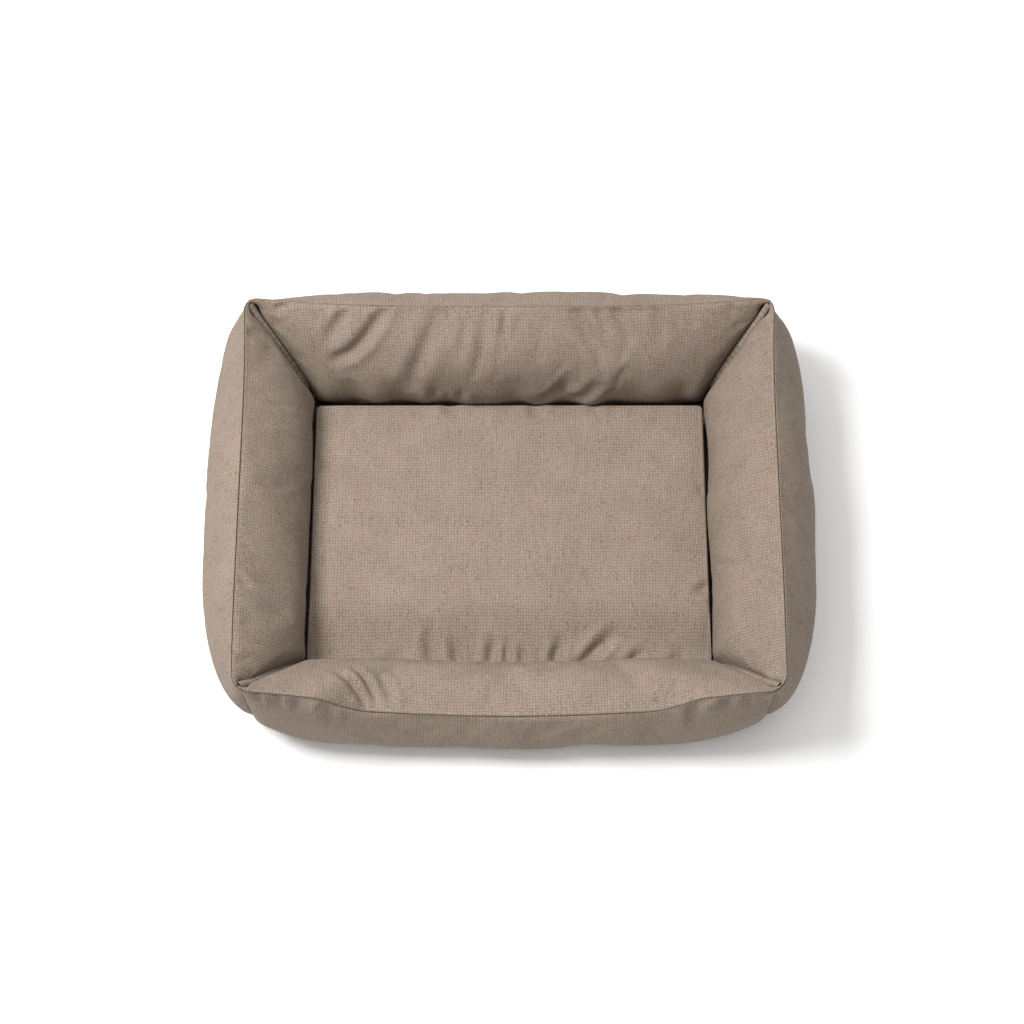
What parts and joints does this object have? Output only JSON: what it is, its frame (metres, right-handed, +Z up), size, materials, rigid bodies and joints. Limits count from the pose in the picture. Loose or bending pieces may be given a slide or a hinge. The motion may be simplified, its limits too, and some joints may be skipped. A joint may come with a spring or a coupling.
{
  "type": "pet cushion bed",
  "caption": "Rectangular padded pet bed: stuffed walls round a well, lower at the front, with a loose zip-covered cushion that lifts out.",
  "frame": {"origin": "on the floor, under the middle of the bed's outline", "axes": "+X to the right along the long side, +Y to the rear, +Z up; the low front wall faces -Y"},
  "size_m": [0.61, 0.472, 0.166],
  "materials": {
    "weave": "heathered basket weave, taupe",
    "cushion_weave": "heathered basket weave, taupe",
    "grip_cloth": "non-woven with grip dots",
    "lining": "plain non-woven",
    "wadding": "fleecy",
    "fibre": "loose fibre",
    "zip_tape": "woven tape with a nylon coil",
    "zip_metal": "satin"
  },
  "bodies": {
    "bed": {"base_fabric": "grip_cloth", "base_wadding": "wadding", "floor_panel": "weave", "back_outer_panel": "weave", "back_inner_panel": "weave", "back_filling": "fibre", "left_outer_panel": "weave", "left_inner_panel": "weave", "left_filling": "fibre", "front_outer_panel": "weave", "front_inner_panel": "weave", "front_filling": "fibre", "right_outer_panel": "weave", "right_inner_panel": "weave", "right_filling": "fibre", "divider_back_left": "lining", "divider_back_right": "lining", "divider_front_right": "lining", "divider_front_left": "lining"},
    "cushion": {"cushion_top_panel": "cushion_weave", "cushion_bottom_panel": "cushion_weave", "cushion_filling": "fibre", "zip_tape_upper": "zip_tape", "zip_tape_lower": "zip_tape", "zip_stop_left": "zip_metal", "zip_stop_right": "zip_metal"},
    "slider": {"zip_slider": "zip_metal"},
    "pull": {"zip_pull": "zip_metal"}
  },
  "joints": [
    {"name": "cushion_lift", "type": "slide", "parent": "bed", "child": "cushion", "axis": [0, 0, 1], "range_m": [0, 0.25]},
    {"name": "zip_run", "type": "slide", "parent": "cushion", "child": "slider", "axis": [-1, 0, 0], "range_m": [0, 0.279]},
    {"name": "pull_turn", "type": "hinge", "parent": "slider", "child": "pull", "pos_m": [0.1395, 0.119, 0.0381], "axis": [0, 0, -1], "range_deg": [0, 180]}
  ]
}
